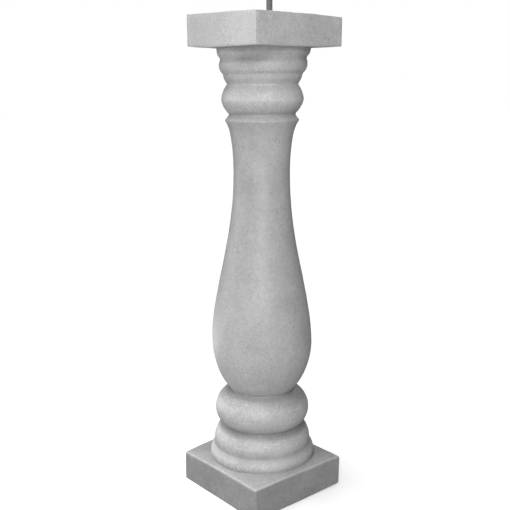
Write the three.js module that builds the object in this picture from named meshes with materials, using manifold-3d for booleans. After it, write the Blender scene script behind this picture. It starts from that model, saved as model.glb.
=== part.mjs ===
// Stone baluster: one cement casting, with a turned shaft between a square plinth and a square
// abacus, and the end of a plain steel reinforcing bar that stands out of the abacus.
// Millimetres, +Z up, with the origin at the centre of the underside.

import * as THREE from 'three';
import { ConvexGeometry } from 'three/addons/geometries/ConvexGeometry.js';
import { RoundedBoxGeometry } from 'three/addons/geometries/RoundedBoxGeometry.js';
import { mergeVertices } from 'three/addons/utils/BufferGeometryUtils.js';
import Module from 'manifold-3d';

// Driving dimensions

// The square foot. Its top is weathered: it rises a little from the four edges to the shaft.
const plinth = { side: 160, edgeHeight: 42, arris: 3, topRise: 5 };

// The square slab on top
const abacus = { side: 143, height: 38.8, arris: 3 };

// The members of the shaft, from the bottom up. The lowest starts at footRadius on the plinth, and
// each of the others starts where the last one ended. A member takes the outline up by its height
// to its topRadius. A bulge is how far it swells out of the straight line between its two ends.
// A sweep leaves its lower end at one angle out of the vertical and reaches its upper end at
// another, in degrees, and each hold says for how long it keeps to that angle.
const footRadius = 73;
const lowerBaseRing = { height: 18, topRadius: 67.4, bulge: 2.9 };
const upperBaseRing = { height: 31.5, topRadius: 56, bulge: 4.2 };
const lowerTorus = { height: 49, topRadius: 43, bulge: 15.7 };
const vaseBelly = { height: 67.5, topRadius: 69.2, angle: 45, hold: 35, topAngle: 0, topHold: 4.5 };
const vaseNeck = { height: 235, topRadius: 37.9, angle: 0, hold: 72, topAngle: 0, topHold: 97 };
const throat = { height: 69.5, topRadius: 49.1, angle: 0, hold: 52, topAngle: 38.5, topHold: 5.5 };
const throatEdge = { height: 1.5, topRadius: 48.8, bulge: 0 };
const stepBack = { height: 7, topRadius: 43.6, bulge: -0.6 };
const echinus = { height: 38, topRadius: 46.3, bulge: 9.2 };
const cove = { height: 7.5, topRadius: 50.8, bulge: 0 };
const fillet = { height: 6, topRadius: 52, bulge: 0 };
const upperRing = { height: 18.7, topRadius: 55.9, bulge: 3.55 };
const cavetto = { height: 6, topRadius: 60.3, bulge: -0.3 };
const topFillet = { height: 9, topRadius: 61.6, bulge: 0 };
const members = [
  lowerBaseRing, upperBaseRing, lowerTorus, vaseBelly, vaseNeck, throat, throatEdge, stepBack,
  echinus, cove, fillet, upperRing, cavetto, topFillet,
];

// The steel bar: its place in the abacus, what stands out and what is set in
const bar = { diameter: 8, x: 5.6, y: 6.5, standOut: 50, setIn: 60, endBevel: 0.8 };
const barClearance = 0.3;

// How finely round stretches are divided
const shaftFacets = 56;
const barFacets = 24;
const arrisSteps = 2;
const degreesPerStep = 12;
const longestStep = 17;

// Materials

const cement = new THREE.MeshStandardMaterial({ color: 0xb9b8b4, roughness: 0.92, metalness: 0 });
const steel = new THREE.MeshStandardMaterial({ color: 0x77787a, roughness: 0.55, metalness: 0.9 });

// A solid for joining and cutting, from a closed three.js geometry
const wasm = await Module();
wasm.setup();

function solidOf(geometry) {
  const plain = geometry.clone();
  plain.deleteAttribute('normal');
  plain.deleteAttribute('uv');
  const merged = mergeVertices(plain, 1e-4);
  return new wasm.Manifold(new wasm.Mesh({
    numProp: 3,
    vertProperties: new Float32Array(merged.attributes.position.array),
    triVerts: new Uint32Array(merged.index.array),
  }));
}

function geometryOf(solid) {
  const mesh = solid.getMesh();
  const geometry = new THREE.BufferGeometry();
  geometry.setAttribute('position', new THREE.BufferAttribute(mesh.vertProperties, 3));
  geometry.setIndex(new THREE.BufferAttribute(mesh.triVerts, 1));
  geometry.computeVertexNormals();
  return geometry;
}

// The arc that swells out of the line between two points of the outline, x outwards and y up
function bulgeArc(from, to, bulge) {
  const chord = new THREE.Vector2().subVectors(to, from);
  const half = chord.length() / 2;
  const radius = (half * half + bulge * bulge) / (2 * Math.abs(bulge));
  const outward = new THREE.Vector2(chord.y, -chord.x).normalize().multiplyScalar(Math.sign(bulge));
  const centre = from.clone().lerp(to, 0.5).addScaledVector(outward, Math.abs(bulge) - radius);
  const startAngle = Math.atan2(from.y - centre.y, from.x - centre.x);
  const endAngle = Math.atan2(to.y - centre.y, to.x - centre.x);
  return new THREE.EllipseCurve(centre.x, centre.y, radius, radius, startAngle, endAngle, bulge < 0);
}

// A free curve between two points that leaves and arrives at given angles out of the vertical
function sweepCurve(from, to, { angle, hold, topAngle, topHold }) {
  const leave = THREE.MathUtils.degToRad(angle);
  const arrive = THREE.MathUtils.degToRad(topAngle);
  return new THREE.CubicBezierCurve(
    from,
    new THREE.Vector2(from.x + hold * Math.sin(leave), from.y + hold * Math.cos(leave)),
    new THREE.Vector2(to.x - topHold * Math.sin(arrive), to.y - topHold * Math.cos(arrive)),
    to,
  );
}

function memberCurve(member, from, to) {
  if ('angle' in member) return sweepCurve(from, to, member);
  if (member.bulge) return bulgeArc(from, to, member.bulge);
  return new THREE.LineCurve(from, to);
}

// As many steps as a member turns through or is long, so that flat members get one
function stepsFor(curve) {
  if (curve instanceof THREE.LineCurve) return 1;
  const samples = curve.getPoints(40);
  let turn = 0;
  for (let i = 2; i < samples.length; i += 1) {
    const before = new THREE.Vector2().subVectors(samples[i - 1], samples[i - 2]);
    const after = new THREE.Vector2().subVectors(samples[i], samples[i - 1]);
    turn += Math.abs(Math.atan2(before.cross(after), before.dot(after)));
  }
  const stepsByTurn = Math.ceil(THREE.MathUtils.radToDeg(turn) / degreesPerStep);
  return Math.max(stepsByTurn, Math.ceil(curve.getLength() / longestStep));
}

// The casting

const footLevel = plinth.edgeHeight + plinth.topRise;
const shaftHeight = members.reduce((sum, member) => sum + member.height, 0);
const abacusUnderside = footLevel + shaftHeight;
const castingTop = abacusUnderside + abacus.height;

// The shaft runs on into the middle of both slabs, so that the three make one solid
function makeShaft() {
  const tailLevel = plinth.edgeHeight / 2;
  const outline = [
    new THREE.Vector2(0, tailLevel),
    new THREE.Vector2(footRadius, tailLevel),
    new THREE.Vector2(footRadius, footLevel),
  ];
  for (const member of members) {
    const from = outline.at(-1);
    const to = new THREE.Vector2(member.topRadius, from.y + member.height);
    const curve = memberCurve(member, from, to);
    outline.push(...curve.getPoints(stepsFor(curve)).slice(1));
  }
  const headLevel = abacusUnderside + abacus.height / 2;
  outline.push(new THREE.Vector2(outline.at(-1).x, headLevel), new THREE.Vector2(0, headLevel));
  return new THREE.LatheGeometry(outline, shaftFacets).rotateX(Math.PI / 2);
}

function makeSlab(side, height, arris, underside) {
  const slab = new RoundedBoxGeometry(side, side, height, arrisSteps, arris);
  return slab.translate(0, 0, underside + height / 2);
}

// The plinth's block and the foot of the shaft, with the weathered top stretched between them
function makePlinth() {
  const block = makeSlab(plinth.side, plinth.edgeHeight, plinth.arris, 0);
  const points = [];
  for (let i = 0; i < block.attributes.position.count; i += 1) {
    points.push(new THREE.Vector3().fromBufferAttribute(block.attributes.position, i));
  }
  for (let i = 0; i < shaftFacets; i += 1) {
    const angle = (i / shaftFacets) * 2 * Math.PI;
    points.push(new THREE.Vector3(footRadius * Math.cos(angle), footRadius * Math.sin(angle), footLevel));
  }
  return new ConvexGeometry(points);
}

function makeBarHole() {
  const radius = bar.diameter / 2 + barClearance;
  const depth = bar.setIn + barClearance;
  const hole = new THREE.CylinderGeometry(radius, radius, 2 * depth, barFacets).rotateX(Math.PI / 2);
  return hole.translate(bar.x, bar.y, castingTop);
}

function makeCasting() {
  const shaft = solidOf(makeShaft());
  const foot = solidOf(makePlinth());
  const top = solidOf(makeSlab(abacus.side, abacus.height, abacus.arris, abacusUnderside));
  return geometryOf(foot.add(shaft).add(top).subtract(solidOf(makeBarHole())));
}

// The bar, straight up and down with a sheared end that is hardly bevelled
function makeBar() {
  const radius = bar.diameter / 2;
  const bottom = castingTop - bar.setIn;
  const top = castingTop + bar.standOut;
  const outline = [
    new THREE.Vector2(0, bottom),
    new THREE.Vector2(radius, bottom),
    new THREE.Vector2(radius, top - bar.endBevel),
    new THREE.Vector2(radius - bar.endBevel, top),
    new THREE.Vector2(0, top),
  ];
  const geometry = new THREE.LatheGeometry(outline, barFacets).rotateX(Math.PI / 2);
  return geometry.translate(bar.x, bar.y, 0);
}

function namedMesh(name, geometry, material) {
  const mesh = new THREE.Mesh(geometry, material);
  mesh.name = name;
  return mesh;
}

const baluster = new THREE.Group();
baluster.add(namedMesh('baluster_casting', makeCasting(), cement));
baluster.add(namedMesh('reinforcing_bar', makeBar(), steel));

export default baluster;
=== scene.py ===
# %% [markdown]
# A cast cement baluster that stands with one corner of its square plinth turned towards us. Two real
# pieces make it up: the casting, poured in one, and a steel bar that stands out of its top. The
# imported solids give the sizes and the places. This file gives the looks.
#
# The first cell loads those solids. Everything in Blender is in metres, and the measures below
# are in millimetres, because that is how a mason or a mould maker writes them.

# %% Load the solids and keep their box
import math

import bpy
import numpy as np
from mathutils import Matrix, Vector, noise


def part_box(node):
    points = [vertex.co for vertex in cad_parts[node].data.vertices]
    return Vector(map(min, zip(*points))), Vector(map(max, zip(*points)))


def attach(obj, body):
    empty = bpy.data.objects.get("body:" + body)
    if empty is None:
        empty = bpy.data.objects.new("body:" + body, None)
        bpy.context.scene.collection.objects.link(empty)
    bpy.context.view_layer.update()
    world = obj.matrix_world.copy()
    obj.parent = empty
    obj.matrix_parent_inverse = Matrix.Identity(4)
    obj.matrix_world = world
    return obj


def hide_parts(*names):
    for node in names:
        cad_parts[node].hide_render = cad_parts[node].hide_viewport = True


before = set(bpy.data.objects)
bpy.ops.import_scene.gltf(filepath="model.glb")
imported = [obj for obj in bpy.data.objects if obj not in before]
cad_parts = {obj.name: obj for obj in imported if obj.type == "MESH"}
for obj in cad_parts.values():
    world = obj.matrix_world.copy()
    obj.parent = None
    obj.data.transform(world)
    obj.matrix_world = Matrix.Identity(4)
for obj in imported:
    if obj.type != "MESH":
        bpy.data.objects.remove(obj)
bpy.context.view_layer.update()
MM = 0.001

# %% [markdown]
# The camera comes first, because every later comparison depends on it. It was fitted to the corners
# of the two square slabs, whose edges run away from us in two directions, and to the curves at the
# feet of the two base rings. It stands 1.08 m from the middle of the baluster, a little below its
# top, and looks down by twelve degrees. The lens isn't shifted and nothing is out of focus, so other
# views stay true.

# %% Camera
camera_turn = math.radians(49.40)
camera_distance = 1081.96 * MM
camera_height = 570.78 * MM
look_down = math.radians(12.276)
look_left = math.radians(0.517)
camera_roll = math.radians(0.045)
sensor_width = 36.0
focal_length = 809.54 * sensor_width / 510

camera_data = bpy.data.cameras.new("camera")
camera_data.sensor_width = sensor_width
camera_data.lens = focal_length
camera = bpy.data.objects.new("camera", camera_data)
bpy.context.scene.collection.objects.link(camera)
camera.location = (
    camera_distance * math.sin(camera_turn),
    -camera_distance * math.cos(camera_turn),
    camera_height,
)
camera.rotation_euler = (math.pi / 2 - look_down, -camera_roll, camera_turn + look_left)
bpy.context.scene.camera = camera
print("camera at", tuple(round(c, 3) for c in camera.location), "lens", round(focal_length, 1), "mm")

# %% [markdown]
# The shaft of the real baluster was made by turning one profile round an axis: the mould was swept
# or lathed. So its outline is written down as a mason would, member by member, from the plinth to
# the abacus. Each member rises by its height to its top radius. A ring or a torus swells out of the
# straight line by its bulge, and a peak above 0 draws it a little to a point. The vase and the
# throat follow a long sweep. The sizes were fitted to the two sides of the shaft in the picture and
# then rounded. The solid was made from nearly the same figures, so the fine surface keeps its form.
# The last number is the gap between the rings of points: small on the mouldings, where the outline
# turns quickly, and wide on the long neck.

# %% The members of the shaft, in millimetres
FOOT_RADIUS = 73
members = [
    dict(name="lower base ring", height=18, top=67.4, bulge=2.9, gap=1.5),
    dict(name="upper base ring", height=31.5, top=56, bulge=4.2, gap=1.9),
    dict(name="lower torus", height=49, top=43, bulge=15.7, gap=2.1),
    dict(name="belly of the vase", height=67.5, top=69.2, sweep=(45, 35, 0, 4.5), gap=2.5),
    dict(name="neck of the vase", height=235, top=37.9, sweep=(0, 72, 0, 97), gap=3.6),
    dict(name="throat", height=69.5, top=49.1, sweep=(0, 52, 38.5, 5.5), gap=2.5),
    dict(name="edge of the throat", height=1.5, top=48.8, bulge=0, gap=0.75),
    dict(name="step back", height=7, top=43.6, bulge=-0.6, gap=1.2),
    dict(name="echinus", height=38, top=46.3, bulge=9.4, peak=0.3, gap=1.6),
    dict(name="cove", height=7.5, top=50.8, bulge=0, gap=1.2),
    dict(name="fillet", height=6, top=52, bulge=0, gap=1.2),
    dict(name="upper ring", height=18.7, top=55.9, bulge=3.55, gap=1.4),
    dict(name="cavetto", height=6, top=60.3, bulge=-0.3, gap=1.2),
    dict(name="top fillet", height=9, top=61.6, bulge=0, gap=1.3),
]
shaft_height = sum(m["height"] for m in members)
print(len(members), "members,", shaft_height, "mm in all")


# %% [markdown]
# Two small functions draw a member as close points. A bulge is an arc of a circle, found from its
# chord and how far it stands out of it. A sweep is a cubic Bezier curve: it leaves one end at one
# angle out of the vertical and reaches the other end at another.

# %% How a member is drawn
def arc_points(low, high, bulge, count, peak=0.0):
    """Points (radius, level) of an arc from low to high that stands out of its chord by bulge.
    A peak above 0 draws the shoulders in, so that the swelling comes a little to a point."""
    low, high = np.array(low, float), np.array(high, float)
    share = np.linspace(0, 1, count)[:, None]
    chord = high - low
    length = np.hypot(*chord)
    outward = np.array([chord[1], -chord[0]]) / length
    if abs(bulge) < 1e-6:
        return low + share * chord
    radius = (length * length / 4 + bulge * bulge) / (2 * abs(bulge))
    half_angle = 2 * math.atan2(2 * abs(bulge), length)
    turn = (2 * share - 1) * half_angle
    rise = (np.cos(turn) - math.cos(half_angle)) * radius
    along = np.sin(turn) * radius
    pointed = abs(bulge) * (1 - np.abs(along) / (length / 2))
    rise = (1 - peak) * rise + peak * pointed
    middle = (low + high) / 2
    return middle + along * chord / length + math.copysign(1, bulge) * rise * outward


def sweep_points(low, high, sweep, count):
    """Points of a sweep (angle, hold, top angle, top hold), with the angles in degrees."""
    angle, hold, top_angle, top_hold = sweep
    leave, arrive = math.radians(angle), math.radians(top_angle)
    low, high = np.array(low, float), np.array(high, float)
    after_low = low + hold * np.array([math.sin(leave), math.cos(leave)])
    before_high = high - top_hold * np.array([math.sin(arrive), math.cos(arrive)])
    t = np.linspace(0, 1, count)[:, None]
    return (
        (1 - t) ** 3 * low
        + 3 * (1 - t) ** 2 * t * after_low
        + 3 * (1 - t) * t**2 * before_high
        + t**3 * high
    )


test_arc = arc_points((43, 0), (43, 49), 15.7, 9)
print("a torus 49 high reaches radius", round(float(test_arc[:, 0].max()), 1))

# %% [markdown]
# A mould never leaves a knife edge. Cement doesn't fill the last fraction of a millimetre of a
# groove, and brushing and rain round every corner. So the whole outline is drawn with points a
# quarter of a millimetre apart and smoothed over about that rounding, and then the rings are picked
# from it. The rings still fall exactly on the creases, so these stay crisp. The outline is also
# smoothed a second time, much more widely. How far a ring stands out of that or back from it tells
# the crests from the hollows, and the paint needs both later.

# %% The softened outline of the shaft
OUTLINE_STEP = 0.25
CREASE_ROUNDING = 0.8
HOLLOW_WIDTH = 6.0
foot_level = 47


def shaft_outline():
    """Radius and level of every ring, and how far it stands out of the outline's own average."""
    pieces = []
    marks = [0.0]
    low = (FOOT_RADIUS, foot_level)
    for member in members:
        high = (member["top"], low[1] + member["height"])
        count = max(8, int(member["height"] * 8))
        if "sweep" in member:
            points = sweep_points(low, high, member["sweep"], count)
        else:
            points = arc_points(low, high, member["bulge"], count, member.get("peak", 0.0))
        run = np.hypot(*np.diff(points, axis=0).T).sum()
        marks.append(marks[-1] + run)
        pieces.append(points if not pieces else points[1:])
        low = high
    line = np.vstack(pieces)
    along = np.concatenate([[0], np.cumsum(np.hypot(*np.diff(line, axis=0).T))])
    even = np.arange(0, along[-1], OUTLINE_STEP)
    even = np.append(even, along[-1])
    dense = np.stack([np.interp(even, along, line[:, i]) for i in (0, 1)], 1)
    reach = int(3 * CREASE_ROUNDING / OUTLINE_STEP)
    weights = np.exp(-0.5 * (np.arange(-reach, reach + 1) * OUTLINE_STEP / CREASE_ROUNDING) ** 2)
    weights /= weights.sum()
    soft = []
    for i in (0, 1):
        start = 2 * dense[0, i] - dense[reach:0:-1, i]
        end = 2 * dense[-1, i] - dense[-2 : -reach - 2 : -1, i]
        soft.append(np.convolve(np.concatenate([start, dense[:, i], end]), weights, "valid"))
    soft = np.stack(soft, 1)
    half_reach = int(3 * HOLLOW_WIDTH / OUTLINE_STEP)
    wide = np.arange(-half_reach, half_reach + 1) * OUTLINE_STEP / HOLLOW_WIDTH
    wide = np.exp(-0.5 * wide**2)
    padded = np.pad(soft[:, 0], half_reach, mode="edge")
    stand_out = soft[:, 0] - np.convolve(padded, wide / wide.sum(), "valid")
    stops = [0.0]
    for member, start, end in zip(members, marks[:-1], marks[1:]):
        steps = max(2, round((end - start) / member["gap"]))
        stops.extend(np.linspace(start, end, steps + 1)[1:])
    stops = np.array(stops)
    radius = np.interp(stops, even, soft[:, 0])
    level = np.interp(stops, even, soft[:, 1])
    return radius, level, np.interp(stops, even, stand_out)


ring_radius, ring_level, ring_stand_out = shaft_outline()
print(len(ring_radius), "rings, widest", round(float(ring_radius[20:].max()), 1), "mm")

# %% [markdown]
# Every ring has the same number of points, so the whole casting can be one net: it starts at the
# middle of the underside, runs up the plinth, the shaft and the abacus, and goes down the hole of
# the bar. Only the shape of a ring changes, from a square with eased corners to a circle and back.
# One helper gives the square and one the circle. A column of points keeps its place in both, so the
# faces between them stay regular. The plinth is kept a little smaller than the solid, because its
# uneven skin needs some room.

# %% Square and round rings
COLUMNS = 240
QUARTER = COLUMNS // 4
CORNER_STEPS = 3
SKIN_ROOM = 0.3
solid_low, solid_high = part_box("baluster_casting")
plinth_half = float(solid_high.x - solid_low.x) / MM / 2 - SKIN_ROOM
abacus_half = 71.3
plinth_corner = 4.0
plinth_arris = 2.0
plinth_foot_arris = 0.6
abacus_corner = 1.3
abacus_arris = 1.0
abacus_low_arris = 1.2


def square_ring(half, corner):
    """Points round a square with rounded corners. Column 0 is in the middle of the +X side."""
    flat = QUARTER // 2 - CORNER_STEPS
    rise = [(half, (half - corner) * i / flat) for i in range(flat)]
    middle = half - corner
    for i in range(2 * CORNER_STEPS + 1):
        turn = math.pi / 2 * i / (2 * CORNER_STEPS)
        rise.append((middle + corner * math.cos(turn), middle + corner * math.sin(turn)))
    rise += [((half - corner) * i / flat, half) for i in range(flat - 1, 0, -1)]
    quarter = np.array(rise)
    turns = [quarter]
    for _ in range(3):
        last = turns[-1]
        turns.append(np.stack([-last[:, 1], last[:, 0]], 1))
    return np.vstack(turns)


def round_ring(radius, centre=(0.0, 0.0)):
    """Points round a circle, in the same columns as the square's."""
    turn = 2 * math.pi * np.arange(COLUMNS) / COLUMNS
    return np.stack([centre[0] + radius * np.cos(turn), centre[1] + radius * np.sin(turn)], 1)


print("columns in a ring:", len(square_ring(plinth_half, plinth_corner)))

# %% [markdown]
# The slabs were struck off by hand, so their edges rise and dip, by up to nearly four millimetres on
# the plinth and three on the abacus. That shows along the top of the plinth and along both edges of
# the abacus, and a real piece is easy to know by it. Some of it may make up for a small error of the
# camera instead. The heights below follow readings of the picture at the corners and along the sides
# that we see, rounded and then adjusted against the render. The hidden sides are invented in
# the same manner. The heights are given in the order of the columns, at twenty-four even places
# round the square, six to a side. On the plinth's underside one corner is worn round and stands off
# the ground a little.

# %% Uneven edges of the slabs
def around(values):
    """One value for each column, from values at even places round the square, evened out."""
    places = np.linspace(0, COLUMNS, len(values) + 1)
    raw = np.interp(np.arange(COLUMNS), places, list(values) + [values[0]])
    width = np.hanning(9)
    padded = np.concatenate([raw[-4:], raw, raw[:4]])
    return np.convolve(padded, width / width.sum(), "valid")


# from the middle of the +X side, over the corners (+X,+Y), (-X,+Y), (-X,-Y) and (+X,-Y)
plinth_edge = around(
    [42.8, 42.0, 41.7, 39.9, 40.6, 40.4, 40.0, 40.8, 41.5, 42.2, 43.4, 44.6]
    + [45.6, 45.7, 44.0, 41.4, 42.6, 43.3, 43.6, 43.6, 43.5, 43.3, 43.2, 43.2]
)
abacus_top_edge = around(
    [649.7, 649.2, 648.2, 647.2, 648.4, 649.0, 649.3, 649.8, 650.1, 650.4, 650.6, 650.9]
    + [651.0, 651.4, 652.0, 652.6, 652.1, 651.6, 651.2, 650.9, 650.5, 650.1, 650.1, 650.0]
)
abacus_low_edge = around(
    [609.4, 609.6, 610.4, 611.5, 611.0, 610.8, 610.7, 610.7, 610.8, 610.8, 610.5, 610.5]
    + [610.7, 610.5, 611.1, 612.9, 610.4, 609.4, 609.3, 609.5, 609.8, 610.2, 609.8, 609.5]
)
plinth_low_edge = around([0.1, 0.6, 1.4, 2.4, 0.9, 0.1] + [0.0] * 3 + [0.4] + [0.0] * 14)
print("plinth edge from", round(plinth_edge.min(), 1), "to", round(plinth_edge.max(), 1), "mm")

# %% [markdown]
# The turned part isn't perfect either. Each moulding tips a little, its side on our right a touch
# higher, and the members stand up to a millimetre and a half to one side or the other. The abacus is
# turned by a little over a degree. These small faults are why a cast piece looks made by hand, so
# every ring gets its own tilt and shift. They began as readings of the creases and of the two sides
# in the picture, and were adjusted too. Both are given as pairs of a level and a value, and
# the levels in between follow in straight lines.

# %% Lean and shift of the mouldings
to_the_right = np.array([math.cos(camera_turn), math.sin(camera_turn)])
tilts = [
    (0, 0), (47, 0.018), (65, 0.019), (96.5, 0.007), (145.5, 0.003), (250, 0), (480, 0.004),
    (519, 0.011), (526, 0.013), (545, 0.008), (564, 0.006), (600, 0.022), (611, 0.0), (650, 0.0),
]
shifts = [
    (0, 0.4), (50, 0.8), (90, 0.6), (145, 0.8), (200, 0.4), (260, -0.7), (500, -0.6),
    (530, 0.0), (570, 0.3), (595, 1.1), (611, 1.4), (650, 1.3),
]
ABACUS_TWIST = math.radians(-1.3)


def by_level(level, pairs):
    """The value at a level, or at many, from pairs of a level and a value."""
    places, values = zip(*pairs)
    return np.interp(level, places, values)


def twisted(ring, angle):
    """A ring turned about the axis."""
    turn = np.array([[math.cos(angle), math.sin(angle)], [-math.sin(angle), math.cos(angle)]])
    return ring @ turn


def leaned(ring, levels, shift_share=1.0):
    """A ring with its points at those levels, tipped and shifted as the real mouldings are."""
    middle = float(np.mean(levels))
    tilt = by_level(middle, tilts)
    shift = by_level(middle, shifts)
    moved = ring + shift_share * shift * to_the_right
    return np.column_stack([moved, levels + tilt * (ring @ to_the_right)])


print("largest tilt:", round(math.degrees(max(tilt for _, tilt in tilts)), 1), "degrees")

# %% [markdown]
# Now the rings are stacked. The slabs go round their eased edges in quarter circles. The plinth's
# top is weathered: it climbs a little from the edges to the foot of the shaft, so that rain runs
# off. Beside each ring goes a note of how strongly it may be roughened, because the underside has
# to stay flat on the ground and the bar's hole has to stay true. Its marks for the paint go there
# too: eased edges are rubbed paler, crests carry a painted highlight with some wear, hollows carry
# painted shade with some dust, and the plinth's sides are painted darker.

# %% Stack the rings of the casting
bar_low, bar_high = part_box("reinforcing_bar")
bar_centre = ((bar_low.x + bar_high.x) / 2 / MM, (bar_low.y + bar_high.y) / 2 / MM)
bar_radius = (bar_high.x - bar_low.x) / 2 / MM
BAR_CLEARANCE = 0.3
hole_radius = bar_radius + BAR_CLEARANCE
hole_bottom = bar_low.z / MM - BAR_CLEARANCE
casting_top = float(solid_high.z) / MM
abacus_underside = foot_level + shaft_height
ARRIS_STEPS = 4
PLINTH_FACE_STEPS = 14
PLINTH_TOP_STEPS = 8
ABACUS_UNDERSIDE_STEPS = 5
ABACUS_FACE_STEPS = 13

rings = []
rough = []
notes = {"eased_edge": [], "hollow": [], "crest": [], "ground_stain": []}


def add_ring(points, roughness=1.0, **marks):
    """Adds a ring, how strongly it is roughened, and its marks for the paint."""
    rings.append(np.asarray(points, float))
    rough.append(roughness)
    for name, values in notes.items():
        values.append(float(marks.get(name, 0.0)))


def add_slab_sides(
    half, corner, low_edge, high_edge, low_arris, high_arris, steps, stain=0.0, twist=0.0
):
    """The lower eased edge, the upright faces and the upper eased edge of a slab."""
    for i in range(ARRIS_STEPS + 1):
        turn = math.pi / 2 * (1 - i / ARRIS_STEPS)
        inset = low_arris * (1 - math.cos(turn))
        ring = twisted(square_ring(half - inset, corner - inset), twist)
        level = low_edge + low_arris * (1 - math.sin(turn))
        share = i / ARRIS_STEPS
        add_ring(leaned(ring, level), 0.4 + 0.6 * share, eased_edge=1 - share, ground_stain=stain)
    for i in range(1, steps):
        share = i / steps
        level = low_edge + low_arris + share * (high_edge - low_edge - low_arris - high_arris)
        add_ring(leaned(twisted(square_ring(half, corner), twist), level), ground_stain=stain)
    for i in range(ARRIS_STEPS + 1):
        turn = math.pi / 2 * i / ARRIS_STEPS
        inset = high_arris * (1 - math.cos(turn))
        ring = twisted(square_ring(half - inset, corner - inset), twist)
        level = high_edge - high_arris * (1 - math.sin(turn))
        share = i / ARRIS_STEPS
        # The upper arris is rubbed paler, and on the plinth it also carries a painted highlight.
        wear_and_highlight = dict(eased_edge=share, crest=0.6 * stain * share)
        add_ring(leaned(ring, level), ground_stain=stain * (1 - share), **wear_and_highlight)


ground = np.zeros(COLUMNS)
underside_ring = square_ring(plinth_half - plinth_foot_arris, plinth_corner - plinth_foot_arris)
for share in (0.04, 0.25, 0.5, 0.75, 0.86):
    add_ring(leaned(underside_ring * share, ground), 0.0)
# The plinth's sides are painted darker all over, and their top arris paler.
add_slab_sides(
    plinth_half,
    plinth_corner,
    plinth_low_edge,
    plinth_edge,
    plinth_foot_arris,
    plinth_arris,
    PLINTH_FACE_STEPS,
    stain=1.0,
)
top_ring = square_ring(plinth_half - plinth_arris, plinth_corner - plinth_arris)
# Towards the foot of the shaft the plinth's top gets painted shade, with some dust, in the crease.
for i in range(1, PLINTH_TOP_STEPS):
    share = i / PLINTH_TOP_STEPS
    ring = (1 - share) * top_ring + share * round_ring(FOOT_RADIUS)
    levels = (1 - share) * plinth_edge + share * foot_level
    add_ring(leaned(ring, levels), eased_edge=max(0.0, 1 - 4 * share), hollow=0.2 + 0.8 * share**2)
print(len(rings), "rings up to the foot of the shaft")

# %% [markdown]
# On the shaft the marks change with the level, because each moulding takes its own painted light and
# shade and its own wear. The first two lists say how strongly a ring is marked where it stands out
# or back: a painted highlight with some wear on the crests, and painted shade with some dust in the
# hollows. The other two mark a ring whatever its shape: painted shade with some dirt at the foot, in
# the deep creases and under the abacus, and painted light on the top of the torus, low on the vase,
# below the upper ring and just under the top fillet.

# %% The shaft's rings, then the abacus and the hole
FULL_CREST = 1.6
FULL_HOLLOW = 2.4
# Painted shade, with some dust, in the hollows.
hollow_shares = [
    # the base rings and the crease between them
    (0, 1), (88, 1.2), (93, 1.9), (98, 1.6), (104, 1.7),
    # the torus and the crease under the vase
    (128, 1.0), (136, 0.1), (144, 0.3), (147, 1.0), (154, 0.9),
    # the throat and the step back
    (515, 0.8), (526, 1.1), (532, 0.8),
    # the echinus, the cove and the upper ring
    (552, 0.1), (576, 0.0), (590, 1.0), (595, 1.3), (598, 0.0), (604, 0.0),
]
# A painted highlight, with some wear, on the crests.
crest_shares = [
    # the base rings
    (47, 1.0), (52, 1.8), (74, 1.6), (78, 2.8), (88, 2.8),
    # the torus
    (92, 0.4), (105, 0.6), (110, 1.4), (125, 1.8), (138, 1.2),
    # the edge of the throat
    (510, 0.3), (522, 0.3),
    # the echinus, the upper ring and the top fillet
    (540, 1.6), (552, 1.3), (570, 1.2), (588, 0.5), (602, 0.9), (606, 0.0),
]
# Painted shade, with some dirt, at the foot, in the creases and under the abacus.
shade_and_dirt_shares = [
    # the foot of the lower base ring
    (47, 1.2), (50, 1.0), (54, 0.6), (58, 0.2), (60, 0),
    # the crease under the torus
    (88, 0), (91, 0.35), (96, 0.2), (97, 0),
    # over the upper ring and under the abacus
    (588, 0), (593, 0.5), (597, 0.2), (599, 0.0), (605, 0.1), (609, 0.1), (612, 0.0),
]
# Painted light at these levels, whatever the shape of the ring.
painted_light_shares = [
    # the top of the torus and the lower part of the vase
    (126, 0), (132, 0.35), (139, 0.45), (143, 0.1), (152, 0.1), (195, 0.15), (225, 0),
    # from the echinus to the fillet, and the cavetto
    (540, 0), (550, 0.3), (582, 0.3), (588, 0), (597, 0), (599, 0.5), (602, 0.2), (604, 0),
]
for radius, level, stand_out in zip(ring_radius, ring_level, ring_stand_out):
    crest = min(1.0, max(0.0, stand_out) / FULL_CREST) * by_level(level, crest_shares)
    hollow = min(1.0, max(0.0, -stand_out) / FULL_HOLLOW) * by_level(level, hollow_shares)
    crest += by_level(level, painted_light_shares)
    hollow += by_level(level, shade_and_dirt_shares)
    add_ring(leaned(round_ring(radius), np.full(COLUMNS, level)), crest=crest, hollow=hollow)
bottom_ring = square_ring(abacus_half - abacus_low_arris, abacus_corner - abacus_low_arris)
bottom_ring = twisted(bottom_ring, ABACUS_TWIST)
for i in range(1, ABACUS_UNDERSIDE_STEPS):
    share = i / ABACUS_UNDERSIDE_STEPS
    ring = (1 - share) * round_ring(ring_radius[-1]) + share * bottom_ring
    levels = (1 - share) * abacus_underside + share * abacus_low_edge
    add_ring(leaned(ring, levels), 0.7)
add_slab_sides(
    abacus_half,
    abacus_corner,
    abacus_low_edge,
    abacus_top_edge,
    abacus_low_arris,
    abacus_arris,
    ABACUS_FACE_STEPS,
    twist=ABACUS_TWIST,
)
lid_ring = square_ring(abacus_half - abacus_arris, abacus_corner - abacus_arris)
lid_ring = twisted(lid_ring, ABACUS_TWIST)
for share in (0.06, 0.14, 0.24, 0.35, 0.46, 0.57, 0.68, 0.78, 0.86, 0.93, 1.0):
    ring = (1 - share) * lid_ring + share * round_ring(hole_radius, bar_centre)
    levels = (1 - share) * abacus_top_edge + share * casting_top
    add_ring(leaned(ring, levels, 1 - share), 1.0 if share < 0.9 else 0.0)
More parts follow.
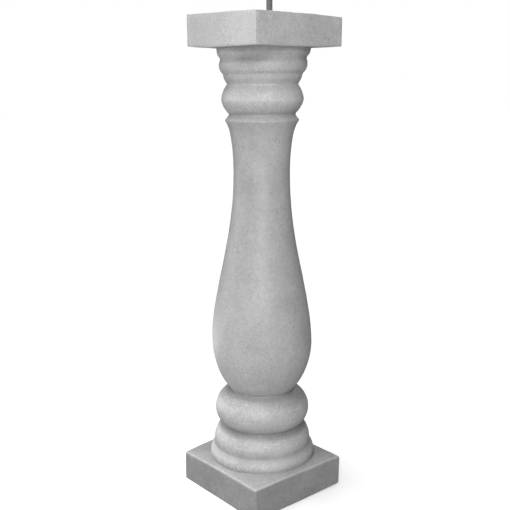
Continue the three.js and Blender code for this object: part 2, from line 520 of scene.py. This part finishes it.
for share in (0.04, 0.3, 0.6, 0.9, 1.0):
    level = casting_top + share * (hole_bottom - casting_top)
    hole_ring = round_ring(hole_radius, bar_centre)
    add_ring(np.column_stack([hole_ring, np.full(COLUMNS, level)]), 0.0)
print(len(rings), "rings in all,", 2 * COLUMNS * (len(rings) - 1) + 2 * COLUMNS, "triangles")

# %% [markdown]
# Cast cement has a skin that swells and sinks by a few tenths of a millimetre over the width of a
# hand, with smaller dimples in it. The rings are moved along their own normals by a smooth noise of
# three sizes, and the eased edges lose a little more here and there, as knocked edges do. This is
# real geometry, so it shows in the outline too. The noise is a fixed function of the place, so every
# run gives the same stone. At the end nothing may stand below the ground or out past the solid.

# %% Roughen the net
BROAD_SIZE, BROAD_DEPTH = 60.0, 0.30
MIDDLE_SIZE, MIDDLE_DEPTH = 17.0, 0.16
FINE_SIZE, FINE_DEPTH = 6.0, 0.07
EDGE_SIZE, EDGE_DEPTH = 11.0, 0.9


def net_normals(net):
    """Outward normals of a net of rings, from the points beside, above and below each one."""
    across = np.roll(net, -1, axis=1) - np.roll(net, 1, axis=1)
    up = np.gradient(net, axis=0)
    normal = np.cross(across, up)
    size = np.linalg.norm(normal, axis=2, keepdims=True)
    return normal / np.maximum(size, 1e-9)


def skin_offset(point, edge):
    """How far the skin stands out at a point, in millimetres. Worn edges stand back."""
    place = Vector(point)
    out = BROAD_DEPTH * noise.noise(place / BROAD_SIZE)
    out += MIDDLE_DEPTH * noise.noise(place / MIDDLE_SIZE + Vector((7, 3, 5)))
    out += FINE_DEPTH * noise.noise(place / FINE_SIZE + Vector((2, 9, 4)))
    if edge > 0.05:
        knock = noise.noise(place / EDGE_SIZE + Vector((5, 1, 8))) - 0.1
        out -= edge * EDGE_DEPTH * max(0.0, knock)
    return out


net = np.array(rings)
normals = net_normals(net)
moved = net.copy()
for row in range(len(net)):
    if rough[row] > 0:
        for column in range(COLUMNS):
            edge = notes["eased_edge"][row]
            offset = rough[row] * skin_offset(net[row, column], edge)
            moved[row, column] += normals[row, column] * offset
moved = np.clip(moved, np.array(solid_low) / MM, (np.inf, np.inf, np.inf))
moved[..., :2] = np.minimum(moved[..., :2], np.array(solid_high)[:2] / MM)
print("largest move", round(float(np.linalg.norm(moved - net, axis=2).max()), 2), "mm")

# %% [markdown]
# The net becomes one closed mesh: faces of four points between the rings, and a fan at each end.

# %% How a net becomes a mesh
def mesh_from_net(name, points, closed_low, closed_high):
    """A mesh of rings with a point at each end, and every face turned outwards."""
    row_count, column_count = points.shape[:2]
    vertices = np.vstack([points.reshape(-1, 3), closed_low, closed_high]) * MM
    faces = []
    for row in range(row_count - 1):
        for column in range(column_count):
            beside = (column + 1) % column_count
            faces.append(
                (
                    row * column_count + column,
                    row * column_count + beside,
                    (row + 1) * column_count + beside,
                    (row + 1) * column_count + column,
                )
            )
    low_point = row_count * column_count
    last_row = (row_count - 1) * column_count
    for column in range(column_count):
        beside = (column + 1) % column_count
        faces.append((low_point, beside, column))
        faces.append((low_point + 1, last_row + column, last_row + beside))
    mesh = bpy.data.meshes.new(name)
    mesh.from_pydata(vertices.tolist(), [], faces)
    mesh.validate()
    mesh.polygons.foreach_set("use_smooth", [True] * len(mesh.polygons))
    mesh.update()
    piece = bpy.data.objects.new(name, mesh)
    bpy.context.scene.collection.objects.link(piece)
    return piece


def store_note(piece, name, values):
    """Keeps one number for each point of the net on the mesh, for the material to read."""
    note = piece.data.attributes.new(name, "FLOAT", "POINT")
    with_ends = np.append(np.asarray(values, float).ravel(), [0.0, 0.0])
    note.data.foreach_set("value", with_ends.astype(np.float32))


print("mesh helpers ready")

# %% [markdown]
# The net is closed by one point in the middle of the underside and one at the bottom of the hole.
# The marks of a ring are copied to all its points. Then the piece is told to ride on the only body
# and to take the place of its solid.

# %% Build the casting's mesh
underside_middle = np.append(by_level(0, shifts) * to_the_right, 0.0)
hole_middle = (*bar_centre, hole_bottom)
casting = mesh_from_net("cast_baluster", moved, underside_middle, hole_middle)
for name, values in notes.items():
    store_note(casting, name, np.repeat(values, COLUMNS))
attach(casting, "root")
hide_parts("baluster_casting")
print(casting.name, len(casting.data.vertices), "points,", len(casting.data.polygons), "faces")

# %% [markdown]
# Some marks don't follow the rings. Pale patches of painted light lie on the abacus, most of all
# near the corner towards us, and a little on the left of the vase. A painted shadow lies just under
# the abacus. Painted shade darkens the back of the plinth's top, the tops of the torus and of the
# upper base ring to both sides, and one side of the plinth and of the neck. Each of these is one
# number for every point, from its distance to a middle or from its level and its side.

# %% Marks that follow the place
to_camera = np.array([math.sin(camera_turn), -math.cos(camera_turn)])


def patch(middle, stretch, strength, reach):
    """A soft patch, full near its middle and falling off with the distance. A stretch above 1
    makes it narrower along that axis."""
    distance = np.linalg.norm((moved - middle) * stretch, axis=2)
    return strength - distance / reach


levels = moved[..., 2]
side = moved[..., :2] @ to_the_right
depth = moved[..., :2] @ to_camera

# Pale patches of painted light: on the abacus near the corner towards us, and low on the left of the
# vase.
abacus_light_middle = np.array([abacus_half - 22, -abacus_half, 634.0])
belly_light_middle = np.append(30 * to_camera - 60 * to_the_right, 195.0)
on_abacus = 0.35 * (levels > abacus_underside + 1)
abacus_patch = patch(abacus_light_middle, stretch=(1, 12, 1.2), strength=1.25, reach=80)
abacus_light = np.clip(abacus_patch, on_abacus, 1)
belly_patch = patch(belly_light_middle, stretch=(1, 1, 1), strength=1.2, reach=65)
belly_light = 0.5 * np.clip(belly_patch, 0, 1)
store_note(casting, "painted_light_patch", abacus_light + belly_light)

# A painted shadow just under the abacus.
abacus_shadow_middle = np.append(55 * to_camera - 18 * to_the_right, 592.5)
abacus_shadow_patch = patch(abacus_shadow_middle, stretch=(1, 1, 4.5), strength=1.4, reach=30)
store_note(casting, "painted_shadow_under_abacus", np.clip(abacus_shadow_patch, 0, 1))

# Painted shade: the back of the plinth's top, the sides of the torus and base ring tops, one side of
# the plinth and of the neck.
on_plinth_top = np.clip((levels - plinth_edge.min()) / 2, 0, 1) * (levels < foot_level + 3)
behind = np.clip(0.45 - depth / 70, 0, 1)
base_ring_top = [(88, 0), (92, 0.45), (98, 0.45), (104, 0)]
torus_top = [(130, 0), (137, 0.7), (146, 0.7), (150, 0)]
beside = np.clip(np.abs(side) / 45, 0, 1) + 0.8 * np.clip(side / 50, 0, 1) ** 2
shaded_plinth_side = 0.18 * (levels < plinth_edge.min()) * (moved[..., 1] < 2 - plinth_half)
neck = [(230, 0), (300, 0.22), (480, 0.22), (520, 0)]
shaded_neck_side = by_level(levels, neck) * np.clip(-side / 30, 0, 1)
painted_shade = on_plinth_top * behind + by_level(levels, base_ring_top + torus_top) * beside
painted_shade += shaded_plinth_side + shaded_neck_side
store_note(casting, "painted_shade", painted_shade)
print("notes for the paint:", sorted(a.name for a in casting.data.attributes if a.domain == "POINT"))

# %% [markdown]
# The bar is plain round steel, as it comes from the mill: a dull grey skin, not quite round, with
# faint dents, and a sheared top with its rim knocked off. The same net helper makes it, with fewer
# points, because it is only eight millimetres thick.

# %% Build the bar
BAR_COLUMNS = 40
BAR_GAP = 1.6
bar_bottom, bar_top = bar_low.z / MM, bar_high.z / MM
bar_bevel = 0.8


def bar_ring(radius, level):
    """One ring of the bar, with the small flats that the rolls leave."""
    turn = 2 * math.pi * np.arange(BAR_COLUMNS) / BAR_COLUMNS
    points = []
    for angle in turn:
        place = Vector((math.cos(angle) * 4, math.sin(angle) * 4, level))
        out = 0.05 * noise.noise(place / 7) + 0.03 * noise.noise(place / 2.2)
        reach = radius + min(0.0, out)
        points.append(
            (bar_centre[0] + reach * math.cos(angle), bar_centre[1] + reach * math.sin(angle), level)
        )
    return points


bar_rings = [bar_ring(bar_radius * share, bar_bottom) for share in (0.3, 0.7)]
bar_rings.append(bar_ring(bar_radius - bar_bevel, bar_bottom))
for level in np.arange(bar_bottom + bar_bevel, bar_top - bar_bevel, BAR_GAP):
    bar_rings.append(bar_ring(bar_radius, level))
for step in range(4):
    turn = math.pi / 2 * step / 3
    inset = bar_bevel * (1 - math.cos(turn))
    bar_rings.append(bar_ring(bar_radius - inset, bar_top - bar_bevel * (1 - math.sin(turn))))
bar_rings += [bar_ring((bar_radius - bar_bevel) * share, bar_top) for share in (0.66, 0.33)]
bar_net = np.array(bar_rings)
bar_piece = mesh_from_net(
    "steel_bar", bar_net, (*bar_centre, bar_bottom), (*bar_centre, bar_top)
)
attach(bar_piece, "root")
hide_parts("reinforcing_bar")
print(bar_piece.name, len(bar_rings), "rings from", round(bar_bottom), "to", round(bar_top), "mm")

# %% [markdown]
# Both materials have clouds of slightly lighter and darker tone, and both have a fine grain. Each
# effect is one shader group, with named inputs, that both materials use at their own scale. A group
# gives only a mask or a height, and the shader itself stays in the material, where it is easy to
# find. Object coordinates are used, so the pattern is fixed to the piece at its real size.

# %% Helpers for node groups
def new_group(name, inputs, outputs):
    """A shader node group with number inputs (name: value) and outputs (name: kind)."""
    group = bpy.data.node_groups.new(name, "ShaderNodeTree")
    for socket_name, value in inputs.items():
        socket = group.interface.new_socket(
            socket_name, in_out="INPUT", socket_type="NodeSocketFloat"
        )
        socket.default_value = value
    for socket_name in outputs:
        group.interface.new_socket(socket_name, in_out="OUTPUT", socket_type="NodeSocketFloat")
    start = group.nodes.new("NodeGroupInput")
    end = group.nodes.new("NodeGroupOutput")
    place = group.nodes.new("ShaderNodeTexCoord")
    return group, start.outputs, end.inputs, place.outputs["Object"]


def add_noise(tree, vector, scale, detail, roughness=0.5):
    """A noise texture node. The scale may be a number or a socket."""
    node = tree.nodes.new("ShaderNodeTexNoise")
    node.inputs["Detail"].default_value = detail
    node.inputs["Roughness"].default_value = roughness
    tree.links.new(vector, node.inputs["Vector"])
    if isinstance(scale, (int, float)):
        node.inputs["Scale"].default_value = scale
    else:
        tree.links.new(scale, node.inputs["Scale"])
    return node.outputs["Fac"]


def add_math(tree, operation, *values, clamp=False):
    """A math node on numbers or sockets."""
    node = tree.nodes.new("ShaderNodeMath")
    node.operation = operation
    node.use_clamp = clamp
    for socket, value in zip(node.inputs, values):
        if isinstance(value, (int, float)):
            socket.default_value = value
        else:
            tree.links.new(value, socket)
    return node.outputs["Value"]


def add_range(tree, value, low, high, new_low=0.0, new_high=1.0):
    """Maps low to high onto new_low to new_high, and stops at the ends."""
    node = tree.nodes.new("ShaderNodeMapRange")
    tree.links.new(value, node.inputs["Value"])
    settings = {"From Min": low, "From Max": high, "To Min": new_low, "To Max": new_high}
    for name, number in settings.items():
        if isinstance(number, (int, float)):
            node.inputs[name].default_value = number
        else:
            tree.links.new(number, node.inputs[name])
    return node.outputs["Result"]


print("node helpers ready")

# %% Clouded tone and fine grain
clouds, c_in, c_out, c_place = new_group(
    "Clouded tone", {"Cloud Scale": 16.0, "Speck Scale": 140.0, "Speck Share": 0.4}, ["Tone"]
)
broad = add_noise(clouds, c_place, c_in["Cloud Scale"], 3.0, 0.6)
speck = add_noise(clouds, c_place, c_in["Speck Scale"], 4.0, 0.6)
speck_part = add_math(clouds, "MULTIPLY", speck, c_in["Speck Share"])
broad_share = add_math(clouds, "SUBTRACT", 1.0, c_in["Speck Share"])
broad_part = add_math(clouds, "MULTIPLY", broad, broad_share)
tone = add_math(clouds, "ADD", broad_part, speck_part)
clouds.links.new(tone, c_out["Tone"])

grain, g_in, g_out, g_place = new_group(
    "Fine grain", {"Grain Scale": 700.0, "Pit Scale": 110.0, "Pit Depth": 0.6}, ["Height"]
)
sand = add_noise(grain, g_place, g_in["Grain Scale"], 2.0, 0.6)
pit_cells = grain.nodes.new("ShaderNodeTexVoronoi")
grain.links.new(g_place, pit_cells.inputs["Vector"])
grain.links.new(g_in["Pit Scale"], pit_cells.inputs["Scale"])
pit = add_range(grain, pit_cells.outputs["Distance"], 0.10, 0.22)
where = add_noise(grain, g_place, 40.0, 2.0)
pit_here = add_range(grain, where, 0.52, 0.62)
pit_hole = add_math(grain, "MULTIPLY", add_math(grain, "SUBTRACT", 1.0, pit), pit_here)
pit_part = add_math(grain, "MULTIPLY", pit_hole, g_in["Pit Depth"])
height = add_math(grain, "SUBTRACT", sand, pit_part)
grain.links.new(height, g_out["Height"])
print("groups:", sorted(g.name for g in bpy.data.node_groups))

# %% [markdown]
# The cement itself is a light grey with no colour in it. The clouds and the grain move its tone a
# little, and then every note that was stored on the mesh adds its share: eased edges are rubbed
# paler, the crests (painted highlight with some wear) and the patches of painted light are paler,
# and the hollows (painted shade with some dust), the plinth's sides, the painted shadow under the
# abacus and the other painted shade are darker. Fine pale specks are painted as glints on the crests
# and the patches of painted light. It is dull, but not chalky: the smooth skin from the mould gives
# the swellings a faint broad sheen, so the roughness sits near 0.5 and the bump is very fine.

# %% Cement
def new_material(name):
    """A material with its node tree and its Principled shader."""
    material = bpy.data.materials.new(name)
    material.use_nodes = True
    tree = material.node_tree
    return material, tree, tree.nodes["Principled BSDF"]


def place_group(tree, group, **values):
    """A node of a group, with its inputs set by name."""
    node = tree.nodes.new("ShaderNodeGroup")
    node.node_tree = group
    for name, value in values.items():
        node.inputs[name.replace("_", " ")].default_value = value
    return node


def add_note(tree, name):
    """Reads a note stored on the points of the mesh."""
    node = tree.nodes.new("ShaderNodeAttribute")
    node.attribute_name = name
    return node.outputs["Fac"]


def add_colours(tree, value, dark, light):
    """Two colours, from dark at 0 to light at 1."""
    node = tree.nodes.new("ShaderNodeMix")
    node.data_type = "RGBA"
    tree.links.new(value, node.inputs["Factor"])
    node.inputs["A"].default_value = (*dark, 1)
    node.inputs["B"].default_value = (*light, 1)
    return node.outputs["Result"]


CEMENT_DARK = (0.28, 0.28, 0.28)
CEMENT_LIGHT = (0.72, 0.72, 0.72)
# How far each note moves the tone: painted light and highlights up, painted shade down.
tone_shares = {
    "eased_edge": 0.08,
    "crest": 0.25,
    "hollow": -0.24,
    "ground_stain": -0.27,
    "painted_light_patch": 0.22,
    "painted_shadow_under_abacus": -0.20,
    "painted_shade": -0.34,
}
# Pale specks painted as glints where the painted highlights and the painted light are.
GLINT_SPECK_SHARE = 0.85
GLINT_SPECK_SCALE = 560.0
cement, c_tree, c_shader = new_material("cast_cement")
cement_cloud = place_group(c_tree, clouds, Cloud_Scale=26.0, Speck_Scale=170.0, Speck_Share=0.45)
cement_grain = place_group(c_tree, grain, Grain_Scale=560.0, Pit_Scale=120.0, Pit_Depth=0.7)
cloud_part = add_range(c_tree, cement_cloud.outputs["Tone"], 0.36, 0.64, -0.13, 0.13)
grain_part = add_range(c_tree, cement_grain.outputs["Height"], 0.25, 0.75, -0.18, 0.18)
tone = add_math(c_tree, "ADD", add_math(c_tree, "ADD", cloud_part, 0.5), grain_part)
for name, share in tone_shares.items():
    marked = add_math(c_tree, "MULTIPLY", add_note(c_tree, name), share)
    tone = add_math(c_tree, "ADD", tone, marked)
speck_place = c_tree.nodes.new("ShaderNodeTexCoord").outputs["Object"]
glint_noise = add_noise(c_tree, speck_place, GLINT_SPECK_SCALE, 1.0)
glint_speck = add_range(c_tree, glint_noise, 0.60, 0.66)
speck_places = add_math(c_tree, "ADD", add_note(c_tree, "crest"), add_note(c_tree, "painted_light_patch"))
speck_places = add_math(c_tree, "POWER", speck_places, 2.0)
glint_specks = add_math(c_tree, "MULTIPLY", glint_speck, speck_places)
tone = add_math(c_tree, "ADD", tone, add_math(c_tree, "MULTIPLY", glint_specks, GLINT_SPECK_SHARE))
cement_colour = add_colours(c_tree, tone, CEMENT_DARK, CEMENT_LIGHT)
c_tree.links.new(cement_colour, c_shader.inputs["Base Color"])
rough_value = add_range(c_tree, cement_cloud.outputs["Tone"], 0.3, 0.7, 0.42, 0.54)
c_tree.links.new(rough_value, c_shader.inputs["Roughness"])
c_shader.inputs["Specular IOR Level"].default_value = 0.6
cement_bump = c_tree.nodes.new("ShaderNodeBump")
cement_bump.inputs["Strength"].default_value = 0.35
cement_bump.inputs["Distance"].default_value = 0.0006
c_tree.links.new(cement_grain.outputs["Height"], cement_bump.inputs["Height"])
c_tree.links.new(cement_bump.outputs["Normal"], c_shader.inputs["Normal"])
casting.data.materials.append(cement)
print(cement.name, "on", casting.name)

# %% [markdown]
# The steel has a dull mill skin: dark grey oxide with paler patches where it has rubbed through. The
# same two groups give its clouds and its grain, at a smaller scale. Where the oxide is thick it is
# barely metallic, and where it has rubbed off it shines a little more.

# %% Steel
STEEL_DARK = (0.15, 0.15, 0.15)
STEEL_LIGHT = (0.24, 0.24, 0.24)
steel, s_tree, s_shader = new_material("mill_steel")
steel_cloud = place_group(s_tree, clouds, Cloud_Scale=90.0, Speck_Scale=600.0, Speck_Share=0.5)
steel_grain = place_group(s_tree, grain, Grain_Scale=1500.0, Pit_Scale=700.0, Pit_Depth=0.3)
rubbed = add_range(s_tree, steel_cloud.outputs["Tone"], 0.40, 0.62)
s_tree.links.new(add_colours(s_tree, rubbed, STEEL_DARK, STEEL_LIGHT), s_shader.inputs["Base Color"])
s_tree.links.new(add_range(s_tree, rubbed, 0.0, 1.0, 0.10, 0.40), s_shader.inputs["Metallic"])
s_tree.links.new(add_range(s_tree, rubbed, 0.0, 1.0, 0.75, 0.60), s_shader.inputs["Roughness"])
steel_bump = s_tree.nodes.new("ShaderNodeBump")
steel_bump.inputs["Strength"].default_value = 0.3
steel_bump.inputs["Distance"].default_value = 0.0003
s_tree.links.new(steel_grain.outputs["Height"], steel_bump.inputs["Height"])
s_tree.links.new(steel_bump.outputs["Normal"], s_shader.inputs["Normal"])
bar_piece.data.materials.append(steel)
print(steel.name, "on", bar_piece.name)

# %% [markdown]
# Such a piece is photographed on white. The floor is a large plain sheet with a white world behind
# it. A floor that is white enough for the camera would throw too much light up at the stone. So what
# the camera sees is lifted to white, and what the stone sees stays grey: the Light Path node tells
# the two apart. Neither is part of the object.

# %% Floor and surroundings
FLOOR_HALF = 12.0
BOUNCE = 0.28
FLOOR_TONE = 0.90
FLOOR_LIFT = 0.40
floor_mesh = bpy.data.meshes.new("floor")
floor_corners = [(-1, -1), (1, -1), (1, 1), (-1, 1)]
floor_points = [(x * FLOOR_HALF, y * FLOOR_HALF, 0) for x, y in floor_corners]
floor_mesh.from_pydata(floor_points, [], [(0, 1, 2, 3)])
floor = bpy.data.objects.new("floor", floor_mesh)
bpy.context.scene.collection.objects.link(floor)
floor_paint, f_tree, f_shader = new_material("pale_floor")
f_shader.inputs["Roughness"].default_value = 0.9
floor_rays = f_tree.nodes.new("ShaderNodeLightPath").outputs["Is Camera Ray"]
floor_colour = add_colours(f_tree, floor_rays, (BOUNCE,) * 3, (FLOOR_TONE,) * 3)
f_tree.links.new(floor_colour, f_shader.inputs["Base Color"])
floor_lift = add_colours(f_tree, floor_rays, (0, 0, 0), (FLOOR_LIFT,) * 3)
f_tree.links.new(floor_lift, f_shader.inputs["Emission Color"])
f_shader.inputs["Emission Strength"].default_value = 1.0
floor_mesh.materials.append(floor_paint)

world = bpy.data.worlds.new("studio")
world.use_nodes = True
bpy.context.scene.world = world
backdrop = world.node_tree.nodes["Background"]
backdrop.inputs["Strength"].default_value = 1.0
world_rays = world.node_tree.nodes.new("ShaderNodeLightPath").outputs["Is Camera Ray"]
AMBIENT = 0.12
BACKDROP_TONE = 1.0
sky = add_colours(world.node_tree, world_rays, (AMBIENT,) * 3, (BACKDROP_TONE,) * 3)
world.node_tree.links.new(sky, backdrop.inputs["Color"])
bpy.context.scene.view_settings.view_transform = "Standard"
print("floor", 2 * FLOOR_HALF, "m wide")

# %% [markdown]
# The light is soft and broad, and most of it comes from the front, from above and from the left:
# the tops of the swellings and the left faces are bright, the right edge goes grey, and every
# moulding shades the one below. Two round softboxes stand in front, about a metre away, and a small
# one low on the left lights the rim of the vase from behind. The broad lights are sun lamps with a
# wide disc, so they light the floor evenly to its far end and their shadows stay soft. The one at
# the back is for the sides that this camera doesn't see.

# %% Lights
def add_softbox(name, turn, elevation, distance, width, watts, target=0.40):
    """A round lamp that looks at the baluster. The turn is counted from the camera, in degrees."""
    angle = camera_turn + math.radians(turn)
    rise = math.radians(elevation)
    data = bpy.data.lights.new(name, "AREA")
    data.shape = "DISK"
    data.size = width
    data.energy = watts
    lamp = bpy.data.objects.new(name, data)
    bpy.context.scene.collection.objects.link(lamp)
    flat = distance * math.cos(rise)
    height = target + distance * math.sin(rise)
    lamp.location = (flat * math.sin(angle), -flat * math.cos(angle), height)
    aim = Vector((0, 0, target)) - lamp.location
    lamp.rotation_mode = "QUATERNION"
    lamp.rotation_quaternion = aim.to_track_quat("-Z", "Y")


def add_broad_light(name, turn, elevation, disc, strength):
    """A sun lamp with a wide disc, in degrees, that shines the same way everywhere."""
    angle = camera_turn + math.radians(turn)
    rise = math.radians(elevation)
    data = bpy.data.lights.new(name, "SUN")
    data.energy = strength
    data.angle = math.radians(disc)
    lamp = bpy.data.objects.new(name, data)
    bpy.context.scene.collection.objects.link(lamp)
    flat = math.cos(rise)
    aim = Vector((-flat * math.sin(angle), flat * math.cos(angle), -math.sin(rise)))
    lamp.rotation_mode = "QUATERNION"
    lamp.rotation_quaternion = aim.to_track_quat("-Z", "Y")


add_softbox("front_softbox", turn=0, elevation=30, distance=1.15, width=0.5, watts=3.35)
add_softbox("low_softbox", turn=0, elevation=5, distance=1.15, width=0.5, watts=2.1)
add_broad_light("high_light", turn=-90, elevation=75, disc=30, strength=1.5)
add_broad_light("left_light", turn=-100, elevation=5, disc=30, strength=0.95)
add_broad_light("front_light", turn=0, elevation=5, disc=60, strength=1.33)
add_broad_light("back_light", turn=165, elevation=30, disc=30, strength=0.4)
add_softbox("rim_softbox", -128, -12, distance=0.5, width=0.25, watts=0.5, target=0.17)
